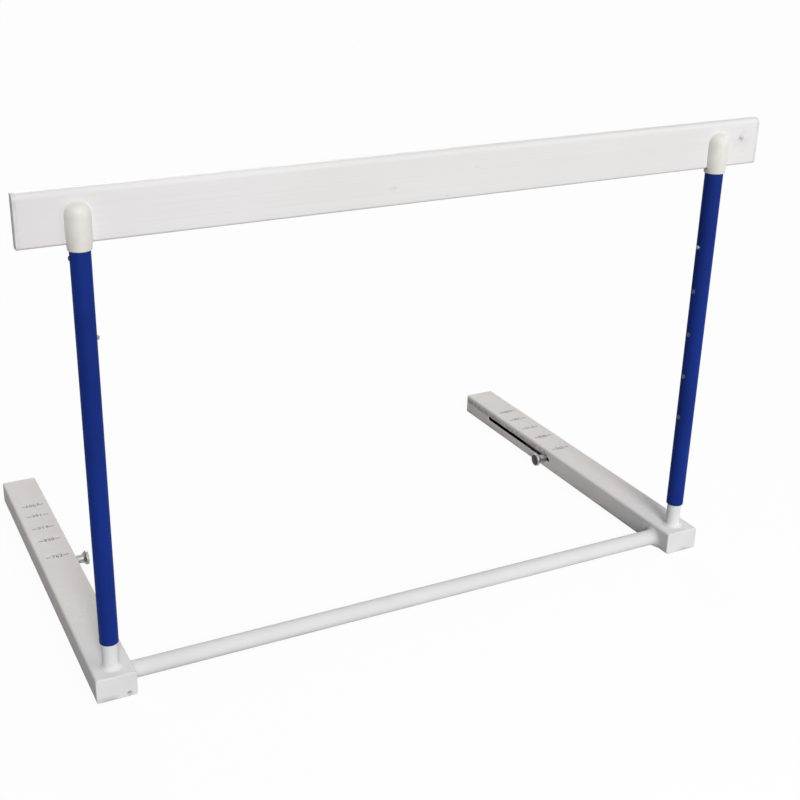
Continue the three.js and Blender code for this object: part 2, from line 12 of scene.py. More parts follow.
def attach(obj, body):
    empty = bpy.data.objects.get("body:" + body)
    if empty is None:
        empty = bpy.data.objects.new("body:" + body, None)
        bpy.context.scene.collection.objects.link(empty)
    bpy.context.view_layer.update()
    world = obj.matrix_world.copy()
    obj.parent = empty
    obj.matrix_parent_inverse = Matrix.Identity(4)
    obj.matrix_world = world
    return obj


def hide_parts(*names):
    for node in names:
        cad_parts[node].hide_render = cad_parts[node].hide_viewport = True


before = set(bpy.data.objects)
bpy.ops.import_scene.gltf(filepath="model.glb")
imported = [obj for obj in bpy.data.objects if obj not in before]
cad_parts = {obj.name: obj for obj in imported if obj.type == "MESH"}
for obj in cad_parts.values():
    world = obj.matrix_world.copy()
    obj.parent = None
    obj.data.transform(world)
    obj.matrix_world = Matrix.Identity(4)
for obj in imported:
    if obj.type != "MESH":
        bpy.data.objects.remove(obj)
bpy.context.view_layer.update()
scene = bpy.context.scene
scene.view_settings.view_transform = "Standard"

MM = 0.001
SIDES = (("left", -1), ("right", 1))

# The board across the top
BAR_LENGTH = 1200
BAR_TOP = 762
BAR_HEIGHT = 73
BAR_DEPTH = 16
BAR_FRONT = -315
BAR_WALL = 2.6
BAR_WEB = 2.2
BAR_CHAMBERS = 3
BAR_TOP_RADIUS = 9
BAR_BACK_RADIUS = 3
BAR_BOTTOM_RADIUS = 4
CHAMBER_RADIUS = 1.0
CHAMBER_BACK_RADIUS = 0.6
PLUG_FLANGE = 5
PLUG_DEPTH = 22
PLUG_ROUNDING = 0.9
PLUG_INSET = 0.12
SPIGOT_GAP = 0.2
BAR_SCREW_HEIGHTS = (12, 34)
BAR_SCREW_HOLE = 2.65
WASHER_RADIUS = 7.5
WASHER_THICK = 1.2
WASHER_EDGE = 0.2
# Screws: radius, length, head's radius, head's height and width of the recess
BAR_SCREW = (2.4, 28.2, 4.7, 3.0, 1.3)
CAP_SCREW = (1.75, 7, 3.5, 1.9, 1.0)

# The posts
POST_X = 518.5
POST_Y = -314.5
OUTER_RADIUS = 14.3
OUTER_BORE = 12.8
OUTER_BOTTOM = 83.6
OUTER_TOP = 681
INNER_RADIUS = 11.75
INNER_BORE = 10.25
INNER_TOP = 594
HOLE_HEIGHT = 558
HOLE_PITCH = 76.2
HOLE_COUNT = 5
HOLE_RADIUS = 3.5
BUTTON_RADIUS = 3.2
BUTTON_TIP = 17.9
BUTTON_DOME = 2.24
BUTTON_FLANGE = 4.7
BUTTON_FLANGE_THICK = 1.5
BUTTON_BACK = 7.41
DRILL_REACH = 20
EDGE = 0.3
# The pale ring round each height hole: partly wear, partly painted highlight
RING_WEAR_AND_HIGHLIGHT_REACH = 5.1
RING_WEAR_AND_HIGHLIGHT_SHARE = 0.8
FOOT_WELD = 6.5
FOOT_BEAD = 1.9
FOOT_BEAD_OFFSET = 2.3
FOOT_RIPPLES = 22.0
FOOT_RIPPLE_DEPTH = 0.15

# The caps
RIM_HEIGHT = 681.2
CAP_RADIUS = 16.3
CAP_FLARE = 1.5
CAP_FLARE_HEIGHT = 30
CAP_DOME_FULLNESS = 2.5
CAP_COLLAR = 7.6
CAP_SHOULDER = 44
CAP_DOME = 19
CAP_LIP = 1.5
CAP_SPIGOT_EDGE = 0.8
CAP_SPIGOT = 12.6
CAP_SPIGOT_DEPTH = 36
CAP_SPIGOT_BORE = 9.6
CAP_BORE_TOP = 3
CAP_EDGE = 0.35
CAP_SCREW_DROP = 10
CAP_SCREW_GAP = 0.2
CAP_SCREW_HOLE = 2

# The legs, with distances measured back from the post's axis
LEG_X = 518.5
LEG_WIDTH = 62.5
LEG_HEIGHT = 40
LEG_WALL = 2
LEG_RADIUS = 4
LEG_FRONT = -343.5
LEG_REAR = 343.5
END_PLATE = 3.5
PLATE_ROUNDING = 1.4
SLOT_HEIGHT = 21
SLOT_WIDTH = 9
SLOT_FRONT = 337.3
SLOT_REAR = 568.5
MARKS = ((344.7, "762"), (406.1, "838"), (453.7, "914"), (501.6, "991"), (543.3, "1067"))
SCALE_X = 517.3
RULE_SPANS = ((-19, -10.5), (10.5, 20))
RULE_HALF_WIDTH = 1.1
NUMBER_SIZE = 13
NUMBER_WEIGHT = 0.35
INK_THICK = 0.06
INK_GAP = 0.02

# The cross tube
CROSS_RADIUS = 13.45
CROSS_BORE = 11.95
CROSS_Y = -300.5
CROSS_Z = 13.95
CROSS_END = 487.25
CROSS_WELD_REACH = 8
CROSS_WELD_LENGTH = 7
CROSS_WELD_FLOOR = 0.2

# The clamp knobs
KNOB_Y = 37.5
KNOB_HEAD = 12.3
KNOB_STEM = 7.75
KNOB_STEM_LENGTH = 13
KNOB_FLARE = 7
KNOB_RIM = 4.3
KNOB_SHANK = 4
KNOB_SHANK_LENGTH = 20
KNOB_SHANK_POINT = 0.8
KNOB_GAP = 0.2
KNOB_ROUNDING = 0.9
# The groove inside the head's rim: distances in from the head's edge and below its face
KNOB_GROOVE = ((1.9, 0), (2.3, 0.6))
KNOB_DOME_EDGE = (2.6, 0.7)
KNOB_DOME = 2.3


# Camera: the photograph's place and angle, in metres, radians and pixels of an 800 pixel frame

PHOTO_SIZE = 800
CAMERA_PLACE = (-0.87048, -1.82907, 1.13233)
CAMERA_YAW = -0.41385
CAMERA_PITCH = -0.37782
CAMERA_ROLL = -0.00541
FOCAL_PIXELS = 1229.38
CENTRE_PIXEL = (302.6, 360.4)
SENSOR_MM = 36
FAR_CLIP = 40


def place_camera():
    camera = bpy.data.objects.new("camera", bpy.data.cameras.new("camera"))
    scene.collection.objects.link(camera)
    turn = Matrix.Rotation(CAMERA_YAW, 3, "Z")
    turn = turn @ Matrix.Rotation(math.pi / 2 + CAMERA_PITCH, 3, "X")
    turn = turn @ Matrix.Rotation(CAMERA_ROLL, 3, "Z")
    camera.matrix_world = Matrix.Translation(CAMERA_PLACE) @ turn.to_4x4()
    camera.data.sensor_fit = "HORIZONTAL"
    camera.data.sensor_width = SENSOR_MM
    camera.data.lens = FOCAL_PIXELS / PHOTO_SIZE * SENSOR_MM
    camera.data.shift_x = (PHOTO_SIZE / 2 - CENTRE_PIXEL[0]) / PHOTO_SIZE
    camera.data.shift_y = (CENTRE_PIXEL[1] - PHOTO_SIZE / 2) / PHOTO_SIZE
    camera.data.clip_end = FAR_CLIP
    scene.camera = camera


# Nodes

def linear(hex_colour):
    """A colour written as sRGB hex, as the linear values that a shader takes."""
    parts = [int(hex_colour[i:i + 2], 16) / 255 for i in (1, 3, 5)]
    return tuple(c / 12.92 if c <= 0.04045 else ((c + 0.055) / 1.055) ** 2.4 for c in parts) + (1,)


def add(tree, kind, feeds=None, **settings):
    """One node; feeds gives each input a number, a colour or the socket that it comes from."""
    made = tree.nodes.new(kind)
    for name, value in settings.items():
        setattr(made, name, value)
    for name, value in (feeds or {}).items():
        if isinstance(value, bpy.types.NodeSocket):
            tree.links.new(value, made.inputs[name])
        else:
            made.inputs[name].default_value = value
    return made


def new_finish(name, **fixed):
    """A material with its shader, whose constants are set on the shader itself."""
    material = bpy.data.materials.new(name)
    material.use_nodes = True
    tree = material.node_tree
    shader = tree.nodes["Principled BSDF"]
    for socket, value in fixed.items():
        shader.inputs[socket.replace("_", " ")].default_value = value
    where = add(tree, "ShaderNodeTexCoord").outputs["Object"]
    return material, tree, shader, where


def calculate(tree, operation, *values):
    return add(tree, "ShaderNodeMath", dict(enumerate(values)), operation=operation).outputs[0]


def vector_math(tree, operation, *values):
    return add(tree, "ShaderNodeVectorMath", dict(enumerate(values)), operation=operation).outputs


def times(tree, first, *others):
    for other in others:
        first = calculate(tree, "MULTIPLY", first, other)
    return first


def split(tree, where):
    return add(tree, "ShaderNodeSeparateXYZ", {0: where}).outputs


def noise(tree, where, size_mm, detail, stretch=(1, 1, 1), seed=0.0):
    """Cloudy values about as large as size_mm, drawn out along an axis whose stretch is above 1."""
    scale = [1 / (size_mm * MM * s) for s in stretch]
    feeds = {"Vector": where, "Scale": scale, "Location": (seed, seed, seed)}
    at = add(tree, "ShaderNodeMapping", feeds).outputs[0]
    feeds = {"Vector": at, "Scale": 1.0, "Detail": detail, "Roughness": 0.5}
    return add(tree, "ShaderNodeTexNoise", feeds).outputs["Fac"]


def ramp(tree, value, low, high, to_low=0.0, to_high=1.0):
    """The value's range from low to high, spread over another range and held at its ends."""
    feeds = {"Value": value, "From Min": low, "From Max": high, "To Min": to_low, "To Max": to_high}
    smooth_step = {"clamp": True, "interpolation_type": "SMOOTHSTEP"}
    return add(tree, "ShaderNodeMapRange", feeds, **smooth_step).outputs[0]


def blend_colours(tree, share, first, second):
    """The first colour at share 0 and the second at 1; each is a socket or an sRGB hex colour."""
    ends = [linear(c) if isinstance(c, str) else c for c in (first, second)]
    feeds = {0: share, 6: ends[0], 7: ends[1]}
    return add(tree, "ShaderNodeMix", feeds, data_type="RGBA").outputs[2]


def bump(tree, shader, height, depth_mm, strength):
    feeds = {"Height": height, "Distance": depth_mm * MM, "Strength": strength}
    tree.links.new(add(tree, "ShaderNodeBump", feeds).outputs[0], shader.inputs["Normal"])


def near(tree, where, place_mm, reach_mm):
    """1 at a place, falling to 0 at its reach."""
    far = vector_math(tree, "DISTANCE", where, [v * MM for v in place_mm])["Value"]
    return ramp(tree, far, 0.0, reach_mm * MM, 1.0, 0.0)


# Finishes

def powder_coat(name, colour, shade, roughness, coat_mm, seed, specular):
    """Powder coat on steel: baked polyester paint, satin, with the faint orange peel of melted
    grains. The peel is about 1 mm wide on the real paint and is drawn a little coarser. The colour
    is left for the caller to add wear to and to link."""
    constants = {"IOR": 1.5, "Specular_IOR_Level": specular, "Diffuse_Roughness": 0.25}
    material, tree, shader, where = new_finish(name, **constants)
    cloud = ramp(tree, noise(tree, where, 160, 3, seed=seed), 0.35, 0.65)
    colours = blend_colours(tree, cloud, colour, shade)
    speck = ramp(tree, noise(tree, where, 5, 3, seed=seed + 3), 0.66, 0.8, 0.0, 0.35)
    colours = blend_colours(tree, speck, colours, shade)
    uneven = noise(tree, where, 40, 4, seed=seed + 5)
    rough = ramp(tree, uneven, 0.3, 0.7, roughness - 0.05, roughness + 0.07)
    tree.links.new(rough, shader.inputs["Roughness"])
    bump(tree, shader, noise(tree, where, 2.2, 1, seed=seed + 7), coat_mm, 0.5)
    return material, tree, shader, where, colours


def make_white_paint():
    """The legs, their plates, the inner tubes and the cross tube: white, dusty along the legs and
    greyed on the cross tube, browned above the slots by painted shade under the slots' upper lips,
    scuffed low down and chipped at one corner."""
    finish = powder_coat("white_powder_coat", "#E4E4E6", "#DCDBDC", 0.66, 0.05,
                         seed=1.0, specular=0.06)
    material, tree, shader, where, colours = finish
    axes = split(tree, where)
    height = axes["Z"]
    aside = calculate(tree, "ABSOLUTE", axes["X"])
    wall_place = LEG_X - LEG_WIDTH / 2

    # Dust on the legs, behind their front plates
    on_leg = times(tree, ramp(tree, aside, (wall_place - 1) * MM, (wall_place - 0.2) * MM),
                   ramp(tree, axes["Y"], LEG_FRONT * MM, (LEG_FRONT + 6) * MM),
                   ramp(tree, height, 40.5 * MM, 42 * MM, 1.0, 0.0))
    dust = ramp(tree, noise(tree, where, 6, 5, seed=14.0), 0.36, 0.66, 0.35, 1.0)
    back = ramp(tree, axes["Y"], (LEG_FRONT + 80) * MM, (LEG_FRONT + 170) * MM)
    tone = blend_colours(tree, back, "#DDDDDC", "#E2DBD6")
    colours = blend_colours(tree, times(tree, on_leg, dust), colours, tone)

    # Painted shade on the inner walls, between the slot and the top, drawn brown where the slots'
    # upper lips would shade them
    wall = ramp(tree, aside, (wall_place + 0.5) * MM, (wall_place + 2) * MM, 1.0, 0.0)
    above_slot = ramp(tree, height, 22 * MM, 26 * MM)
    below_top = ramp(tree, height, 29 * MM, 38 * MM, 1.0, 0.15)
    run = ramp(tree, axes["Y"], 15 * MM, 40 * MM)
    # Painted shade, not oil: a ragged brown band along each slot's upper lip
    slot_lip_shade = times(tree, wall, above_slot, below_top, run, dust, 0.75)
    colours = blend_colours(tree, slot_lip_shade, colours, "#938579")

    # The cross tube
    on_tube = times(tree, ramp(tree, aside, (wall_place - 1) * MM, wall_place * MM, 0.6, 0.0),
                    ramp(tree, height, 29 * MM, 32 * MM, 1.0, 0.0))
    colours = blend_colours(tree, on_tube, colours, "#D7D6D5")

    low = ramp(tree, height, 1.5 * MM, 12 * MM, 1.0, 0.0)
    scuff = ramp(tree, noise(tree, where, 14, 5, (3, 3, 1), 2.0), 0.42, 0.62)
    colours = blend_colours(tree, times(tree, low, scuff, 0.5), colours, "#A9A6A3")
    chipped = near(tree, where, (-500.5, -343.5, 5.5), 7)
    ragged = ramp(tree, noise(tree, where, 3, 3, seed=4.0), 0.42, 0.56)
    colours = blend_colours(tree, times(tree, chipped, ragged), colours, "#6E7073")
    tree.links.new(colours, shader.inputs["Base Color"])
    return material


def make_blue_paint():
    """The outer tubes: deep blue, with a pale ring round each height hole, partly wear from the
    snap button and partly a painted highlight that brightens each shaded hole.
    Along Z the ring repeats with the holes' pitch and stops half a pitch past the outermost."""
    finish = powder_coat("blue_powder_coat", "#1A3284", "#182E7A", 0.55, 0.05,
                         seed=11.0, specular=0.05)
    material, tree, shader, where, colours = finish
    axes = split(tree, where)
    half_pitch = HOLE_PITCH * MM / 2
    top = HOLE_HEIGHT * MM + half_pitch
    bottom = top - HOLE_COUNT * HOLE_PITCH * MM
    up = calculate(tree, "WRAP", axes["Z"], top, HOLE_HEIGHT * MM - half_pitch)
    aside = calculate(tree, "ABSOLUTE", axes["X"])
    at = add(tree, "ShaderNodeCombineXYZ", {"X": aside, "Y": axes["Y"], "Z": up}).outputs[0]
    rim = times(tree, near(tree, at, (POST_X - OUTER_RADIUS, POST_Y, HOLE_HEIGHT), RING_WEAR_AND_HIGHLIGHT_REACH),
                ramp(tree, axes["Z"], top - MM, top, 1.0, 0.0),
                ramp(tree, axes["Z"], bottom, bottom + MM))
    # The pale ring is partly wear and partly a painted highlight, drawn paler and wider to brighten
    # the shaded holes
    worn = times(tree, ramp(tree, rim, 0.02, 0.3), RING_WEAR_AND_HIGHLIGHT_SHARE)
    colours = blend_colours(tree, worn, colours, "#9AA4C4")
    tree.links.new(colours, shader.inputs["Base Color"])
    return material


def make_board():
    """Rigid PVC extrusion: satin white, greyed and a little pinker towards its left end by painted
    shade, with die lines along its length, a few grey shoe scuffs, and near the right end a pinkish
    smear with a grey knock in it."""
    constants = {"IOR": 1.53, "Specular_IOR_Level": 0.2, "Diffuse_Roughness": 0.2}
    material, tree, shader, where = new_finish("rigid_pvc", **constants)
    cloud = ramp(tree, noise(tree, where, 220, 2, (2, 1, 1)), 0.35, 0.65)
    colours = blend_colours(tree, cloud, "#EAE8E8", "#E5E3E2")
    lines = noise(tree, where, 2.4, 3, (400, 1, 1), 5.0)
    colours = blend_colours(tree, ramp(tree, lines, 0.35, 0.7, 0.0, 0.12), colours, "#CFCCCB")
    streak = ramp(tree, noise(tree, where, 9, 5, (5, 1, 1), 9.0), 0.67, 0.74)
    patch = ramp(tree, noise(tree, where, 120, 1, seed=3.0), 0.52, 0.62)
    colours = blend_colours(tree, times(tree, streak, patch, 0.35), colours, "#B9B6B5")
    # Painted shade: the left end is drawn greyer, with a slight pink tint
    left_end_shade = ramp(tree, split(tree, where)["X"], -600 * MM, -330 * MM, 0.6, 0.0)
    colours = blend_colours(tree, left_end_shade, colours, "#E6E1E4")
    marks = (((566, -315, 731), 26, (12, 31.0, 0.3, 0.6), 0.3, "#D8C4D2"),
             ((565, -315, 732), 7, (4, 33.0, 0.35, 0.5), 0.9, "#8B808C"))
    for place, reach, (size, seed, low, high), share, colour in marks:
        ragged = ramp(tree, noise(tree, where, size, 4, seed=seed), low, high)
        mark = times(tree, near(tree, where, place, reach), ragged, share)
        colours = blend_colours(tree, mark, colours, colour)
    tree.links.new(colours, shader.inputs["Base Color"])
    rough = ramp(tree, noise(tree, where, 30, 4, (6, 1, 1), 2.0), 0.3, 0.7, 0.36, 0.48)
    tree.links.new(rough, shader.inputs["Roughness"])
    bump(tree, shader, lines, 0.04, 0.5)
    return material


def moulded(name, colour, shade, roughness, grain_mm, seed):
    """Injection moulded plastic: even colour, with the fine spark-eroded grain of its mould."""
    constants = {"IOR": 1.49, "Specular_IOR_Level": 0.35, "Diffuse_Roughness": 0.2}
    constants.update(Subsurface_Weight=0.4, Subsurface_Radius=(0.004, 0.0035, 0.003))
    material, tree, shader, where = new_finish(name, Subsurface_Scale=0.5, **constants)
    cloud = ramp(tree, noise(tree, where, 22, 2, seed=seed), 0.3, 0.7)
    tree.links.new(blend_colours(tree, cloud, colour, shade), shader.inputs["Base Color"])
    uneven = noise(tree, where, 6, 2, seed=seed + 2)
    rough = ramp(tree, uneven, 0.3, 0.7, roughness - 0.04, roughness + 0.05)
    tree.links.new(rough, shader.inputs["Roughness"])
    bump(tree, shader, noise(tree, where, grain_mm, 2, seed=seed + 4), 0.03, 0.4)
    return material


def bare_metal(name, colour, shade, roughness, grain_mm, stretch, seed):
    """Bare or plated metal whose grain runs the way it was worked."""
    material, tree, shader, where = new_finish(name, Metallic=1.0)
    grain = noise(tree, where, grain_mm, 3, stretch, seed)
    tree.links.new(blend_colours(tree, grain, colour, shade), shader.inputs["Base Color"])
    rough = ramp(tree, grain, 0.3, 0.7, roughness - 0.06, roughness + 0.08)
    tree.links.new(rough, shader.inputs["Roughness"])
    bump(tree, shader, grain, 0.02, 0.4)
    return material


def make_turned_steel():
    """The knobs: nickel plated steel off the lathe, whose tool marks run round the knob's axis."""
    material, tree, shader, where = new_finish("turned_nickel_plate", Metallic=1.0)
    from_axis = vector_math(tree, "SUBTRACT", where, (0, KNOB_Y * MM, SLOT_HEIGHT * MM))[0]
    flat = vector_math(tree, "MULTIPLY", from_axis, (0, 1, 1))[0]
    radius = vector_math(tree, "LENGTH", flat)["Value"]
    along = split(tree, where)["X"]
    rings = add(tree, "ShaderNodeCombineXYZ", {"X": radius, "Y": along}).outputs[0]
    marks = noise(tree, rings, 0.7, 3, seed=2.0)
    tree.links.new(blend_colours(tree, marks, "#A2A3A0", "#878785"), shader.inputs["Base Color"])
    tree.links.new(ramp(tree, marks, 0.3, 0.7, 0.34, 0.48), shader.inputs["Roughness"])
    bump(tree, shader, marks, 0.03, 0.4)
    return material


def make_cast_iron():
    """The counterweights: sand-cast iron, rough and dark, with a thin rust bloom."""
    material, tree, shader, where = new_finish("cast_iron", Metallic=0.7)
    sand = noise(tree, where, 1.6, 4)
    rust = ramp(tree, noise(tree, where, 18, 4, seed=6.0), 0.5, 0.7, 0.0, 0.5)
    tree.links.new(blend_colours(tree, rust, "#3B3A3B", "#4D3A30"), shader.inputs["Base Color"])
    tree.links.new(ramp(tree, sand, 0.3, 0.7, 0.6, 0.85), shader.inputs["Roughness"])
    bump(tree, shader, sand, 0.25, 0.7)
    return material


def make_ink():
    """The scale on the legs: grey screen ink, thin and partly worn off."""
    material, tree, shader, where = new_finish("screen_ink", IOR=1.48)
    worn = ramp(tree, noise(tree, where, 4, 4, seed=8.0), 0.42, 0.62)
    tree.links.new(blend_colours(tree, worn, "#696667", "#979393"), shader.inputs["Base Color"])
    tree.links.new(ramp(tree, worn, 0.0, 1.0, 0.5, 0.6), shader.inputs["Roughness"])
    return material


BOARD = make_board()
# The board's end plugs: polypropylene, a little greyer than the board
PLUG = moulded("polypropylene", "#E2E1E2", "#DAD9DA", 0.5, 0.9, 3.0)
# The caps on the posts: cream ABS
CAP = moulded("cream_abs", "#EAE8E3", "#E5E2DC", 0.45, 0.9, 7.0)
BLUE = make_blue_paint()
WHITE = make_white_paint()
# The guide bushes and glide plugs: undyed nylon
NYLON = moulded("natural_nylon", "#D9D6CC", "#CFCCC1", 0.5, 0.8, 13.0)
# The bar's screws and washers: bright zinc plate
ZINC = bare_metal("zinc_plate", "#B9BBBD", "#9DA0A3", 0.34, 1.2, (1, 1, 1), 15.0)
# The caps' retaining screws: steel with a black oxide
BLACKENED = bare_metal("black_oxide", "#42434B", "#33343B", 0.42, 1.0, (1, 1, 1), 17.0)
# The snap springs and buttons: bright spring steel, rolled along Z
SPRING = bare_metal("spring_steel", "#8A8D91", "#6F7276", 0.3, 0.6, (1, 1, 30), 19.0)
# The domed middles of the knobs' heads: painted shade, a dark metal standing in for the shade and
# dark reflection on their faces
KNOB_FACE_SHADE = bare_metal("knob_face_painted_shade", "#4A474E", "#3A383E", 0.5, 0.8, (1, 1, 1), 23.0)
# The insides of the legs: unpainted steel with its mill scale, rolled along the leg
MILL_SCALE = bare_metal("mill_scale", "#2A2828", "#1C1B1B", 0.6, 6.0, (1, 8, 1), 21.0)
KNOB = make_turned_steel()
IRON = make_cast_iron()
INK = make_ink()


# Shapes

def new_piece(name, points, faces, *finishes):
    """An object from points in millimetres, its doubles merged and its faces turned outwards."""
    mesh = bpy.data.meshes.new(name)
    mesh.from_pydata([tuple(v * MM for v in p) for p in points], [], faces)
    form = bmesh.new()
    form.from_mesh(mesh)
    bmesh.ops.remove_doubles(form, verts=form.verts, dist=1e-7)
    bmesh.ops.recalc_face_normals(form, faces=form.faces)
    form.to_mesh(mesh)
    form.free()
    for finish in finishes:
        mesh.materials.append(finish)
    piece = bpy.data.objects.new(name, mesh)
    scene.collection.objects.link(piece)
    return piece


def smooth(piece, angle):
    piece.data.shade_smooth()
    piece.data.set_sharp_from_angle(angle=math.radians(angle))


def settle(piece):
    """Works the piece's modifiers into its mesh."""
    bpy.context.view_layer.update()
    evaluated = piece.evaluated_get(bpy.context.evaluated_depsgraph_get())
    mesh = bpy.data.meshes.new_from_object(evaluated)
    piece.modifiers.clear()
    piece.data = mesh


def finish_piece(piece, body, slot, *nodes, angle=30):
    """Rides on its body and stands for its CAD nodes, which it hides. The slot is not used."""
    smooth(piece, angle)
    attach(piece, body)
    if nodes:
        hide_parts(*nodes)


def arc(centre, radius, start, end, steps):
    """Points on an arc, from angle start to end in degrees."""
    turns = np.radians(np.linspace(start, end, steps + 1))
    return [(centre[0] + radius * math.cos(a), centre[1] + radius * math.sin(a)) for a in turns]


def rounded_section(width, bottom, height, top_radius, bottom_radius, steps, right_radius=None):
    """A rectangle's outline with round corners, its middle at 0 across. The top right corner may
    differ."""
    half, top = width / 2, bottom + height
    right_radius = top_radius if right_radius is None else right_radius
    corners = [(half - bottom_radius, bottom + bottom_radius, bottom_radius, -90)]
    corners += [(half - right_radius, top - right_radius, right_radius, 0)]
    corners += [(-half + top_radius, top - top_radius, top_radius, 90)]
    corners += [(-half + bottom_radius, bottom + bottom_radius, bottom_radius, 180)]
    outline = []
    for x, z, radius, start in corners:
        outline += arc((x, z), radius, start, start + 90, steps)
    return outline


def rectangle(left, bottom, right, top):
    return [(left, bottom), (right, bottom), (right, top), (left, top)]


def dome(radius, bottom, height, steps, start=0, power=1):
    """(radius, height) pairs of a dome that ends on the axis; a power below 1 fills it out."""
    pairs = []
    for a in np.radians(np.linspace(start, 90, steps + 1)[:-1]):
        pairs.append((radius * math.cos(a) ** power, bottom + height * math.sin(a) ** power))
    return pairs + [(0, bottom + height)]


def rounded_rim(radius):
    """(depth, inset) pairs of an edge rounded to this radius, ending on the face."""
    turns = np.radians((22.5, 45, 67.5, 90))
    return [(radius * (1 - math.sin(a)), radius * (1 - math.cos(a))) for a in turns]


def turned(profile, steps, closed=False):
    """Points and faces of (radius, height) pairs turned round Z. A radius of 0 makes a pole."""
    angles = np.linspace(0, 2 * math.pi, steps, endpoint=False)
    points, rows = [], []
    for radius, height in profile:
        if radius == 0:
            rows.append([len(points)] * steps)
            points.append((0, 0, height))
        else:
            rows.append(list(range(len(points), len(points) + steps)))
            points += [(radius * math.cos(a), radius * math.sin(a), height) for a in angles]
    pairs = list(zip(rows, rows[1:])) + ([(rows[-1], rows[0])] if closed else [])
    faces = []
    for lower, upper in pairs:
        for i in range(steps):
            j = (i + 1) % steps
            corners = list(dict.fromkeys([lower[i], lower[j], upper[j], upper[i]]))
            if len(corners) > 2:
                faces.append(corners)
    return points, faces


def along_x(points, sign=1):
    """Turns what stands along Z so that it points along +X or -X."""
    return [(sign * z, y, x) for x, y, z in points]


def along_y(points):
    """Turns what stands along Z so that it points along +Y."""
    return [(x, z, y) for x, y, z in points]


def moved(points, x=0.0, y=0.0, z=0.0):
    return [(p[0] + x, p[1] + y, p[2] + z) for p in points]


def joined(*parts):
    """Several sets of points and faces as one."""
    points, faces = [], []
    for part_points, part_faces in parts:
        faces += [[i + len(points) for i in face] for face in part_faces]
        points += list(part_points)
    return points, faces


def prism(loops, levels, put):
    """A section run through levels. Each level is a place along the run. The loops, the outer one
    first, are one set for all levels or a function of the level; put turns (across, up, along)
    into a point."""
    sections = [loops(along) if callable(loops) else loops for along in levels]
    points, faces, starts = [], [], []
    for along, section in zip(levels, sections):
        starts.append([])
        for loop in section:
            starts[-1].append((len(points), len(loop)))
            points += [put(a, b, along) for a, b in loop]
    for here, there in zip(starts, starts[1:]):
        for (i, count), (j, _) in zip(here, there):
            for k in range(count):
                n = (k + 1) % count
                faces.append([i + k, i + n, j + n, j + k])
    for end in (0, -1):
        flat = [[Vector((a, b, 0)) for a, b in loop] for loop in sections[end]]
        order = [start + k for start, count in starts[end] for k in range(count)]
        faces += [[order[k] for k in triangle] for triangle in tessellate_polygon(flat)]
    return points, faces


def cut(piece, *tools):
    """Cuts tools, given as points and faces, from the piece."""
    points, faces = joined(*tools)
    tool = new_piece("tool", points, faces)
    modifier = piece.modifiers.new("cut", "BOOLEAN")
    modifier.operation = "DIFFERENCE"
    modifier.solver = "EXACT"
    modifier.object = tool
    settle(piece)
    bpy.data.objects.remove(tool)


# Trees for what repeats

def new_tree(name, *sizes):
    """A geometry tree that takes a mesh, a material and the named sizes."""
    tree = bpy.data.node_groups.new(name, "GeometryNodeTree")
    tree.interface.new_socket("Mesh", in_out="INPUT", socket_type="NodeSocketGeometry")
    tree.interface.new_socket("Finish", in_out="INPUT", socket_type="NodeSocketMaterial")
    for label, kind in sizes:
        tree.interface.new_socket(label, in_out="INPUT", socket_type=kind)
    tree.interface.new_socket("Mesh", in_out="OUTPUT", socket_type="NodeSocketGeometry")
    return tree, add(tree, "NodeGroupInput").outputs


def end_tree(tree, given, geometry):
    real = add(tree, "GeometryNodeRealizeInstances", {"Geometry": geometry}).outputs[0]
    feeds = {"Geometry": real, "Material": given["Finish"]}
    add(tree, "NodeGroupOutput", {"Mesh": add(tree, "GeometryNodeSetMaterial", feeds).outputs[0]})


def grow(piece, tree, finish, **sizes):
    """Runs a tree on the piece and keeps the result as its plain mesh."""
    modifier = piece.modifiers.new("shape", "NODES")
    modifier.node_group = tree
    values = {name.replace("_", " "): value for name, value in sizes.items()}
    values["Finish"] = finish
    for item in tree.interface.items_tree:
        if item.in_out == "INPUT" and item.name in values:
            modifier[item.identifier] = values[item.name]
    settle(piece)


FLOAT, WHOLE, PLACE = "NodeSocketFloat", "NodeSocketInt", "NodeSocketVector"


def hole_row_tree():
    """Drills a row of round holes down a post, a fixed pitch apart, from its axis to one side."""
    sizes = (("Top hole", PLACE), ("Pitch", FLOAT), ("Count", WHOLE), ("Radius", FLOAT),
             ("Reach", FLOAT), ("Turn", FLOAT))
    tree, given = new_tree("height_holes", *sizes)
    down = add(tree, "ShaderNodeCombineXYZ", {"Z": times(tree, given["Pitch"], -1.0)}).outputs[0]
    feeds = {"Count": given["Count"], "Start Location": given["Top hole"], "Offset": down}
    row = add(tree, "GeometryNodeMeshLine", feeds, mode="OFFSET").outputs[0]
    feeds = {"Vertices": 48, "Radius": given["Radius"], "Depth": given["Reach"]}
    drill = add(tree, "GeometryNodeMeshCylinder", feeds).outputs["Mesh"]
    offset = add(tree, "ShaderNodeCombineXYZ", {"Z": times(tree, given["Reach"], 0.5)}).outputs[0]
    feeds = {"Geometry": drill, "Translation": offset}
    drill = add(tree, "GeometryNodeTransform", feeds).outputs[0]
    turn = add(tree, "ShaderNodeCombineXYZ", {"Y": given["Turn"]}).outputs[0]
    drill = add(tree, "GeometryNodeTransform", {"Geometry": drill, "Rotation": turn}).outputs[0]
    feeds = {"Points": row, "Instance": drill}
    drills = add(tree, "GeometryNodeInstanceOnPoints", feeds).outputs[0]
    drills = add(tree, "GeometryNodeRealizeInstances", {"Geometry": drills}).outputs[0]
    feeds = {"Mesh 1": given["Mesh"], "Mesh 2": drills}
    exact = {"operation": "DIFFERENCE", "solver": "EXACT"}
    end_tree(tree, given, add(tree, "GeometryNodeMeshBoolean", feeds, **exact).outputs[0])
    return tree


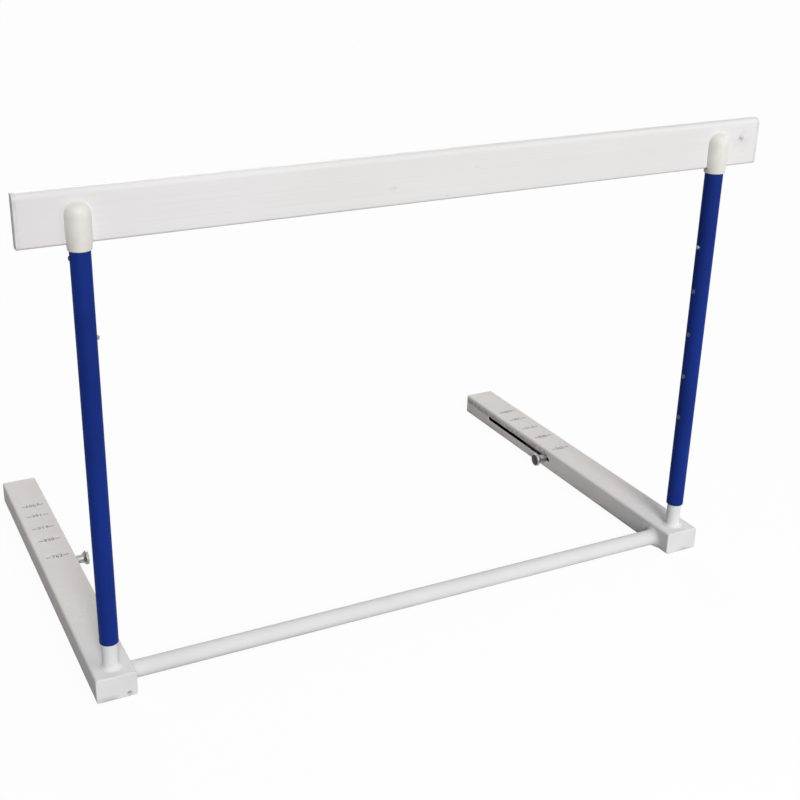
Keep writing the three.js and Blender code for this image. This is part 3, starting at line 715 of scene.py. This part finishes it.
def scatter_tree():
    """Puts a copy of another piece's mesh on each point of the piece."""
    tree, given = new_tree("row_of_copies", ("Copy", "NodeSocketObject"))
    copy = add(tree, "GeometryNodeObjectInfo", {"Object": given["Copy"]}).outputs["Geometry"]
    feeds = {"Points": given["Mesh"], "Instance": copy}
    end_tree(tree, given, add(tree, "GeometryNodeInstanceOnPoints", feeds).outputs[0])
    return tree


def bead_tree():
    """A weld bead round a tube's foot: a round seam whose thickness falls off along each ripple."""
    sizes = (("Radius", FLOAT), ("Bead", FLOAT), ("Ripples", FLOAT), ("Depth", FLOAT))
    tree, given = new_tree("weld_bead", *sizes)
    feeds = {"Resolution": 192, "Radius": given["Radius"]}
    ring = add(tree, "GeometryNodeCurvePrimitiveCircle", feeds).outputs[0]
    along = add(tree, "GeometryNodeSplineParameter").outputs["Factor"]
    wave = calculate(tree, "FRACT", times(tree, along, given["Ripples"]))
    swell = calculate(tree, "SUBTRACT", 1.0, times(tree, wave, given["Depth"]))
    feeds = {"Resolution": 16, "Radius": given["Bead"]}
    section = add(tree, "GeometryNodeCurvePrimitiveCircle", feeds).outputs[0]
    feeds = {"Curve": ring, "Profile Curve": section, "Scale": swell}
    end_tree(tree, given, add(tree, "GeometryNodeCurveToMesh", feeds).outputs[0])
    return tree


HOLE_ROW = hole_row_tree()
COPIES = scatter_tree()
WELD_BEAD = bead_tree()


# The board and its end plugs

def bar_outline(inset):
    width, height = BAR_DEPTH - 2 * inset, BAR_HEIGHT - 2 * inset
    top, bottom, back = [r - inset for r in (BAR_TOP_RADIUS, BAR_BOTTOM_RADIUS, BAR_BACK_RADIUS)]
    return rounded_section(width, inset, height, top, bottom, 10, back)


def bar_chambers(inset):
    """The three hollows between the webs, each drawn in by the inset."""
    pitch = (BAR_HEIGHT - 2 * BAR_WALL + BAR_WEB) / BAR_CHAMBERS
    width, height = BAR_DEPTH - 2 * (BAR_WALL + inset), pitch - BAR_WEB - 2 * inset
    chambers = []
    for i in range(BAR_CHAMBERS):
        top = bottom = CHAMBER_RADIUS
        if i == 0:
            bottom = BAR_BOTTOM_RADIUS - BAR_WALL - inset
        if i == BAR_CHAMBERS - 1:
            top = BAR_TOP_RADIUS - BAR_WALL - inset
        floor = BAR_WALL + i * pitch + inset
        chambers.append(rounded_section(width, floor, height, top, bottom, 5, CHAMBER_BACK_RADIUS))
    return chambers


def bar_point(across, up, along):
    return along, across + BAR_FRONT + BAR_DEPTH / 2, up + BAR_TOP - BAR_HEIGHT


BAR_SCREWS = [(sign * POST_X, BAR_TOP - BAR_HEIGHT + up)
              for _, sign in SIDES for up in BAR_SCREW_HEIGHTS]


def make_crossbar():
    end = BAR_LENGTH / 2 - PLUG_FLANGE
    points, faces = prism([bar_outline(0)] + bar_chambers(0), (-end, end), bar_point)
    board = new_piece("crossbar_board", points, faces, BOARD)
    points, faces = turned(rectangle(0, -BAR_DEPTH, BAR_SCREW_HOLE, BAR_DEPTH), steps=48)
    drill = along_y(points)
    cut(board, *[(moved(drill, x, BAR_FRONT, height), faces) for x, height in BAR_SCREWS])
    finish_piece(board, "lift", "board", "crossbar")


def make_plugs():
    """An end plug's flange has a rounded rim, and its spigots fill the board's three hollows."""
    for side, sign in SIDES:
        face = sign * BAR_LENGTH / 2
        levels = [(PLUG_FLANGE, PLUG_INSET), (PLUG_ROUNDING, PLUG_INSET)]
        levels += [(depth, PLUG_INSET + inset) for depth, inset in rounded_rim(PLUG_ROUNDING)]
        insets = {face - sign * depth: inset for depth, inset in levels}
        parts = [prism(lambda at: [bar_outline(insets[at])], list(insets), bar_point)]
        inside = face - sign * PLUG_FLANGE
        for chamber in bar_chambers(SPIGOT_GAP):
            parts.append(prism([chamber], (inside, inside - sign * PLUG_DEPTH), bar_point))
        plug = new_piece(f"{side}_end_plug", *joined(*parts), PLUG)
        finish_piece(plug, "lift", "plug", f"{side}_bar_plug", angle=40)


# Caps and their screws

def cap_profile():
    """From the hollow's top down its bore, up the spigot, round the lip and over the dome."""
    profile = [(0, CAP_BORE_TOP), (CAP_SPIGOT_BORE, CAP_BORE_TOP)]
    profile += [(CAP_SPIGOT_BORE, -CAP_SPIGOT_DEPTH)]
    profile += [(CAP_SPIGOT - CAP_SPIGOT_EDGE, -CAP_SPIGOT_DEPTH)]
    profile += [(CAP_SPIGOT, CAP_SPIGOT_EDGE - CAP_SPIGOT_DEPTH), (CAP_SPIGOT, 0)]
    profile += arc((CAP_RADIUS - CAP_LIP, CAP_LIP), CAP_LIP, -90, 0, 5)
    for t in np.linspace(0, 1, 11)[1:]:
        swell = 1 - (1 - t) ** 2
        height = CAP_LIP + (CAP_FLARE_HEIGHT - CAP_LIP) * t
        profile.append((CAP_RADIUS + CAP_FLARE * swell, height))
    widest = CAP_RADIUS + CAP_FLARE
    return profile + dome(widest, CAP_SHOULDER, CAP_DOME, 24, power=2 / CAP_DOME_FULLNESS)


def make_cap(side, sign):
    points, faces = turned(cap_profile(), steps=112)
    points = moved(points, sign * POST_X, POST_Y, RIM_HEIGHT)
    cap = new_piece(f"{side}_moulded_cap", points, faces, CAP)

    def seat_point(across, up, along):
        return sign * POST_X + across, BAR_FRONT + along, RIM_HEIGHT + up

    # The bar's seat takes away all that is behind the bar's front and above the collar
    cut(cap, prism([rectangle(-60, CAP_COLLAR, 60, 160)], (0, 60), seat_point))
    edges = cap.modifiers.new("edges", "BEVEL")
    edges.width = CAP_EDGE * MM
    edges.segments = 2
    edges.limit_method = "ANGLE"
    edges.angle_limit = math.radians(50)
    settle(cap)
    finish_piece(cap, "lift", "cap", f"{side}_cap", angle=35)


def screw_shape(radius, length, head_radius, head, recess):
    """A round-headed screw along Z whose head sits on height 0, with a cross recess in its head.
    The recess reaches 0.55 of the head's radius and leaves 0.35 of its height."""
    profile = [(0, -length), (radius * 0.4, -length), (radius, radius - length), (radius, 0)]
    profile += [(head_radius - EDGE, 0), (head_radius, EDGE)]
    profile += dome(head_radius, EDGE, head - EDGE, 7, start=10)
    blank = new_piece("screw_blank", *turned(profile, steps=40))
    half, reach, floor = recess / 2, head_radius * 0.55, head * 0.35
    for wide, deep in ((half, reach), (reach, half)):
        arm = [rectangle(-wide, -deep, wide, deep)]
        cut(blank, prism(arm, (floor, head * 2), lambda a, b, along: (a, b, along)))
    smooth(blank, 35)
    return blank


def copies_of(name, blank, places, finish):
    """One piece made of a copy of the blank at each place; the blank itself is removed."""
    piece = new_piece(name, places, [])
    grow(piece, COPIES, finish, Copy=blank)
    bpy.data.objects.remove(blank)
    return piece


def make_fasteners():
    rows = [f"{side}_{row}" for side, _ in SIDES for row in ("lower", "upper")]
    back = BAR_FRONT + BAR_DEPTH
    blank = screw_shape(*BAR_SCREW)
    blank.data.transform(Matrix.Rotation(-math.pi / 2, 4, "X"))
    places = [(x, back + WASHER_THICK, height) for x, height in BAR_SCREWS]
    screws = copies_of("bar_screws", blank, places, ZINC)
    finish_piece(screws, "lift", "zinc", *[f"{row}_bar_screw" for row in rows])

    profile = tube_profile(WASHER_RADIUS, BAR_SCREW_HOLE, 0, WASHER_THICK, WASHER_EDGE, 0)
    points, faces = turned(profile, steps=48, closed=True)
    blank = new_piece("washer_blank", along_y(points), faces)
    smooth(blank, 35)
    places = [(x, back, height) for x, height in BAR_SCREWS]
    washers = copies_of("bar_washers", blank, places, ZINC)
    finish_piece(washers, "lift", "zinc", *[f"{row}_washer" for row in rows])

    for side, sign in SIDES:
        blank = screw_shape(*CAP_SCREW)
        blank.data.transform(Matrix.Rotation(sign * math.pi / 2, 4, "Y"))
        aside = sign * (POST_X + OUTER_RADIUS + CAP_SCREW_GAP)
        places = [(aside, POST_Y, RIM_HEIGHT - CAP_SCREW_DROP)]
        screw = copies_of(f"{side}_retaining_screw", blank, places, BLACKENED)
        finish_piece(screw, "lift", "dark_steel", f"{side}_cap_screw")


# Posts

def tube_profile(outer, bore, bottom, top, edge, bore_edge):
    """A ring's section, with its outer and its inner edges cut off by so much."""
    profile = [(bore + bore_edge, bottom), (outer - edge, bottom), (outer, bottom + edge)]
    profile += [(outer, top - edge), (outer - edge, top), (bore + bore_edge, top)]
    if bore_edge:
        profile += [(bore, top - bore_edge), (bore, bottom + bore_edge)]
    return profile


def drill_tube(tube, finish, top, radius, turn, count=1):
    """Drills a row of holes, the first at height top, into a tube that still stands round Z."""
    sizes = {"Top_hole": (0, 0, top * MM), "Pitch": HOLE_PITCH * MM, "Count": count}
    grow(tube, HOLE_ROW, finish, Radius=radius * MM, Reach=DRILL_REACH * MM, Turn=turn, **sizes)


def stand(piece, sign, height=0):
    """Moves what was drawn round Z to its post."""
    place = (sign * POST_X * MM, POST_Y * MM, height * MM)
    piece.data.transform(Matrix.Translation(place))


def make_outer_tube(side, sign):
    profile = tube_profile(OUTER_RADIUS, OUTER_BORE, OUTER_BOTTOM, OUTER_TOP, EDGE, EDGE)
    points, faces = turned(profile, steps=96, closed=True)
    tube = new_piece(f"{side}_blue_tube", points, faces, BLUE)
    inwards = -sign * math.pi / 2
    drill_tube(tube, BLUE, HOLE_HEIGHT, HOLE_RADIUS, inwards, HOLE_COUNT)
    drill_tube(tube, BLUE, RIM_HEIGHT - CAP_SCREW_DROP, CAP_SCREW_HOLE, -inwards)
    stand(tube, sign)
    finish_piece(tube, "lift", "blue_paint", f"{side}_outer_tube")


def weld_flare(radius, reach, length):
    """(radius, height) pairs of a weld, which flares out from its tube down to height 0."""
    turns = np.radians(np.linspace(0, 90, 13))
    return [(radius + reach * (1 - math.sin(a)), length * (1 - math.cos(a))) for a in turns]


def make_inner_tube(side, sign):
    """The tube runs out at its foot into its weld, which has a rippled bead round it."""
    flare = weld_flare(INNER_RADIUS, FOOT_WELD, FOOT_WELD)
    profile = [(INNER_BORE, LEG_HEIGHT)] + [(r, z + LEG_HEIGHT) for r, z in flare]
    profile += [(INNER_RADIUS, INNER_TOP), (INNER_BORE, INNER_TOP)]
    points, faces = turned(profile, steps=96, closed=True)
    tube = new_piece(f"{side}_white_tube", points, faces, WHITE)
    drill_tube(tube, WHITE, HOLE_HEIGHT, HOLE_RADIUS, -sign * math.pi / 2)
    stand(tube, sign)
    finish_piece(tube, "base", "white_paint", f"{side}_inner_tube")

    bead = new_piece(f"{side}_post_weld", [], [])
    sizes = {"Radius": (INNER_RADIUS + FOOT_BEAD_OFFSET) * MM, "Bead": FOOT_BEAD * MM}
    grow(bead, WELD_BEAD, WHITE, Ripples=FOOT_RIPPLES, Depth=FOOT_RIPPLE_DEPTH, **sizes)
    stand(bead, sign, LEG_HEIGHT)
    finish_piece(bead, "base", "white_paint", angle=60)


def make_button(side, sign):
    """Bright spring steel, with a flange at the back and a round nose."""
    front = BUTTON_BACK + BUTTON_FLANGE_THICK
    profile = [(0, BUTTON_BACK), (BUTTON_FLANGE, BUTTON_BACK), (BUTTON_FLANGE, front)]
    profile += [(BUTTON_RADIUS, front)]
    profile += dome(BUTTON_RADIUS, BUTTON_TIP - BUTTON_DOME, BUTTON_DOME, 8)
    points, faces = turned(profile, steps=40)
    points = moved(along_x(points, -sign), sign * POST_X, POST_Y, HOLE_HEIGHT)
    button = new_piece(f"{side}_button", points, faces, SPRING)
    finish_piece(button, f"{side}_button", "zinc", f"{side}_snap_button")


# Legs

def leg_outline(inset, steps=8):
    width, height, radius = LEG_WIDTH - 2 * inset, LEG_HEIGHT - 2 * inset, LEG_RADIUS - inset
    return rounded_section(width, inset, height, radius, radius, steps)


def slot_outline():
    r = SLOT_WIDTH / 2
    outline = arc((SLOT_FRONT + r, SLOT_HEIGHT), r, 90, 270, 14)
    return outline + arc((SLOT_REAR - r, SLOT_HEIGHT), r, -90, 90, 14)


def make_leg(side, sign):
    def leg_point(across, up, along):
        return sign * LEG_X + across, along, up

    span = (LEG_FRONT + END_PLATE, LEG_REAR - END_PLATE)
    points, faces = prism([leg_outline(0), leg_outline(LEG_WALL, 4)], span, leg_point)
    leg = new_piece(f"{side}_leg_channel", points, faces, WHITE, MILL_SCALE)
    inner_wall = sign * (LEG_X - LEG_WIDTH / 2 + LEG_WALL)

    def slot_point(away, up, along):
        return inner_wall - sign * along, POST_Y + away, up

    # The slot's tool starts 4 mm inside the wall and ends well outside it
    cut(leg, prism([slot_outline()], (-4, 8), slot_point))
    # The walls' inner faces, with 0.1 mm to spare, show the unpainted steel
    across, low = LEG_WIDTH / 2 - LEG_WALL + 0.1, LEG_WALL - 0.1
    for face in leg.data.polygons:
        x, _, z = face.center / MM
        inside = abs(x - sign * LEG_X) < across and low < z < LEG_HEIGHT - low
        face.material_index = int(inside)
    finish_piece(leg, "base", "white_paint", f"{side}_leg_tube")

    for end, face, inward in (("front", LEG_FRONT, 1), ("rear", LEG_REAR, -1)):
        insets = {face + inward * END_PLATE: 0.0, face + inward * PLATE_ROUNDING: 0.0}
        for depth, inset in rounded_rim(PLATE_ROUNDING):
            insets[face + inward * depth] = inset
        points, faces = prism(lambda at: [leg_outline(insets[at])], list(insets), leg_point)
        plate = new_piece(f"{side}_{end}_end_plate", points, faces, WHITE)
        finish_piece(plate, "base", "white_paint", f"{side}_leg_{end}_plate", angle=40)


def make_rules(side, sign):
    """The five pairs of rules printed across a leg, one for each height of the bar."""
    parts = []
    for distance, _ in MARKS:
        y = POST_Y + distance
        for start, end in RULE_SPANS:
            def rule_point(across, away, up):
                return sign * SCALE_X + across, y + away, LEG_HEIGHT + INK_GAP + up

            outline = rectangle(start, -RULE_HALF_WIDTH, end, RULE_HALF_WIDTH)
            parts.append(prism([outline], (0, INK_THICK), rule_point))
    rules = new_piece(f"{side}_scale_rules", *joined(*parts), INK)
    finish_piece(rules, "base", "white_paint")


def make_numbers(side, sign):
    """The bar's five heights in millimetres, printed between their rules."""
    form = bmesh.new()
    for distance, number in MARKS:
        text = bpy.data.objects.new("number", bpy.data.curves.new("number", "FONT"))
        text.data.body = number
        text.data.size = NUMBER_SIZE * MM
        text.data.offset = NUMBER_WEIGHT * MM
        text.data.align_x, text.data.align_y = "CENTER", "CENTER"
        text.data.extrude = INK_THICK * MM / 2
        text.data.resolution_u = 4
        scene.collection.objects.link(text)
        bpy.context.view_layer.update()
        mesh = bpy.data.meshes.new_from_object(text)
        height = LEG_HEIGHT + INK_GAP + INK_THICK / 2
        place = (sign * SCALE_X * MM, (POST_Y + distance) * MM, height * MM)
        mesh.transform(Matrix.Translation(place))
        form.from_mesh(mesh)
        bpy.data.meshes.remove(mesh)
        bpy.data.objects.remove(text)
    numbers = new_piece(f"{side}_scale_numbers", [], [], INK)
    form.to_mesh(numbers.data)
    form.free()
    finish_piece(numbers, "base", "white_paint")


def make_knob(side, sign):
    """Drawn from its inner end outwards: shank, stem, flare, and a head with a groove round its
    dome, which is drawn dark as painted shade. The shank's thread is left out."""
    stem, head, shank, back = KNOB_STEM, KNOB_HEAD, KNOB_SHANK, -KNOB_SHANK_LENGTH
    profile = [(0, back), (shank - KNOB_SHANK_POINT, back), (shank, back + KNOB_SHANK_POINT)]
    profile += [(shank, KNOB_GAP), (stem - EDGE, KNOB_GAP), (stem, KNOB_GAP + EDGE)]
    for t in np.linspace(0, 1, 13):
        profile.append((stem + (head - stem) * t ** 2, KNOB_STEM_LENGTH + KNOB_FLARE * t))
    face = KNOB_STEM_LENGTH + KNOB_FLARE + KNOB_RIM
    profile += arc((head - KNOB_ROUNDING, face - KNOB_ROUNDING), KNOB_ROUNDING, 0, 90, 4)
    profile += [(head - inset, face - depth) for inset, depth in KNOB_GROOVE]
    inset, depth = KNOB_DOME_EDGE
    profile += dome(head - inset, face - depth, KNOB_DOME, 8)
    points, faces = turned(profile, steps=80)
    wall = sign * (LEG_X - LEG_WIDTH / 2)
    points = moved(along_x(points, -sign), wall, KNOB_Y, SLOT_HEIGHT)
    knob = new_piece(f"{side}_knob", points, faces, KNOB, KNOB_FACE_SHADE)
    # The painted shade covers all that lies inside the rim and is not far below the face
    for part in knob.data.polygons:
        x, y, z = part.center / MM
        off_axis = math.hypot(y - KNOB_Y, z - SLOT_HEIGHT)
        part.material_index = int(sign * (wall - x) > face - 0.9 and off_axis < head - 2)
    finish_piece(knob, f"{side}_knob", "zinc", f"{side}_clamp_knob", angle=40)


def make_cross_tube():
    """The tube runs out at both ends into its welds, which are cut flat just above the ground."""
    weld = weld_flare(CROSS_RADIUS, CROSS_WELD_REACH, CROSS_WELD_LENGTH)
    lower = [(r, z - CROSS_END) for r, z in weld]
    upper = [(r, CROSS_END - z) for r, z in weld][::-1]
    profile = [(CROSS_BORE, -CROSS_END)] + lower + upper + [(CROSS_BORE, CROSS_END)]
    points, faces = turned(profile, steps=96, closed=True)
    points = moved(along_x(points), 0, CROSS_Y, CROSS_Z)
    tube = new_piece("round_cross_tube", points, faces, WHITE)
    below = rectangle(-60, -60, 60, CROSS_WELD_FLOOR)
    cut(tube, prism([below], (-520, 520), lambda a, b, along: (along, CROSS_Y + a, b)))
    finish_piece(tube, "base", "white_paint", "cross_tube")


# The CAD's own solids that stay, with their finishes

def dress_cad_nodes():
    finishes = {"guide_bush": NYLON, "glide_plug": NYLON, "snap_spring": SPRING,
                "counterweight": IRON}
    for side, _ in SIDES:
        for node, finish in finishes.items():
            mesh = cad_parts[f"{side}_{node}"].data
            mesh.materials.clear()
            mesh.materials.append(finish)


# Floor and light

FLOOR_REACH = 12000
FLOOR_HEIGHT = -0.2
FLOOR_GLOW = 0.93
PALE_PLACE = (240, 60, 0)
PALE_REACH = 640
ROOM_LEVEL = 0.1
TARGET = (0, -0.3, 0.4)
# Lamps: name, azimuth, elevation and spread in degrees, and level
LAMPS = (("key", -12, 34, 20, 0.64), ("right_sky", 60, 45, 60, 0.14),
         ("overhead", 20, 75, 60, 0.05), ("back_fill", 165, 25, 35, 0.3))
# Softboxes: name, place and size in metres, and level
SOFTBOXES = (("right_fill", (1.0, -1.9, 0.5), 0.8, 0.21),
             ("centre_fill", (-0.4, -1.9, 0.35), 0.6, 0.15))


def seen(tree):
    """1 where the camera looks, straight, by a mirror or through glass, and 0 for other light."""
    path = add(tree, "ShaderNodeLightPath").outputs
    straight = calculate(tree, "MAXIMUM", path["Is Camera Ray"], path["Is Glossy Ray"])
    return calculate(tree, "MAXIMUM", straight, path["Is Transmission Ray"])


def make_floor():
    """A floor that looks white to the camera and keeps a soft shadow. What it throws back on the
    hurdle is pale between the legs and grey further out."""
    corners = rectangle(-FLOOR_REACH, -FLOOR_REACH, FLOOR_REACH, FLOOR_REACH)
    floor = new_piece("floor", [(x, y, FLOOR_HEIGHT) for x, y in corners], [[0, 1, 2, 3]])
    material = bpy.data.materials.new("studio_floor")
    material.use_nodes = True
    tree = material.node_tree
    tree.nodes.clear()
    place = add(tree, "ShaderNodeTexCoord").outputs["Object"]
    pale = near(tree, place, PALE_PLACE, PALE_REACH)
    shade = blend_colours(tree, pale, "#5C5C5C", "#E6E6E6")
    matte = add(tree, "ShaderNodeBsdfDiffuse", {"Color": shade}).outputs[0]
    white = add(tree, "ShaderNodeBsdfDiffuse", {"Color": linear("#FFFFFF")}).outputs[0]
    feeds = {"Color": linear("#FFFFFF"), "Strength": 1.0}
    glow = add(tree, "ShaderNodeEmission", feeds).outputs[0]
    shown = add(tree, "ShaderNodeMixShader", {0: FLOOR_GLOW, 1: white, 2: glow}).outputs[0]
    both = add(tree, "ShaderNodeMixShader", {0: seen(tree), 1: matte, 2: shown}).outputs[0]
    add(tree, "ShaderNodeOutputMaterial", {"Surface": both})
    floor.data.materials.append(material)


def make_world():
    """White to the camera, and a faint even light in the room."""
    world = bpy.data.worlds.new("studio")
    scene.world = world
    world.use_nodes = True
    tree = world.node_tree
    tree.nodes.clear()
    levels = [{"Color": linear("#FFFFFF"), "Strength": level} for level in (ROOM_LEVEL, 1.0)]
    room, white = [add(tree, "ShaderNodeBackground", feeds).outputs[0] for feeds in levels]
    both = add(tree, "ShaderNodeMixShader", {0: seen(tree), 1: room, 2: white}).outputs[0]
    add(tree, "ShaderNodeOutputWorld", {"Surface": both})


def make_lamp(name, azimuth, elevation, spread, level):
    """A distant soft lamp. At azimuth 0 it stands straight in front of the bar, and a larger one
    moves it round to the right. At level 1 a surface that faces it renders at its own colour."""
    lamp = bpy.data.objects.new(name, bpy.data.lights.new(name, "SUN"))
    lamp.data.angle = math.radians(spread)
    lamp.data.energy = level * math.pi
    scene.collection.objects.link(lamp)
    a, e = math.radians(azimuth), math.radians(elevation)
    towards = Vector((math.sin(a) * math.cos(e), -math.cos(a) * math.cos(e), math.sin(e)))
    lamp.rotation_euler = towards.to_track_quat("Z", "Y").to_euler()


def make_softbox(name, place, size, level):
    """A square lamp that the camera doesn't see. At level 1 a surface at the target that faces it
    renders at about its own colour."""
    lamp = bpy.data.objects.new(name, bpy.data.lights.new(name, "AREA"))
    away = Vector(place) - Vector(TARGET)
    lamp.data.size = size
    lamp.data.energy = level * math.pi ** 2 * away.length_squared
    lamp.location = place
    lamp.rotation_euler = away.to_track_quat("Z", "Y").to_euler()
    lamp.visible_camera = False
    scene.collection.objects.link(lamp)


place_camera()
make_crossbar()
make_plugs()
make_fasteners()
for side, sign in SIDES:
    make_cap(side, sign)
    make_outer_tube(side, sign)
    make_inner_tube(side, sign)
    make_button(side, sign)
    make_leg(side, sign)
    make_rules(side, sign)
    make_numbers(side, sign)
    make_knob(side, sign)
make_cross_tube()
dress_cad_nodes()
make_floor()
make_world()
for lamp in LAMPS:
    make_lamp(*lamp)
for softbox in SOFTBOXES:
    make_softbox(*softbox)
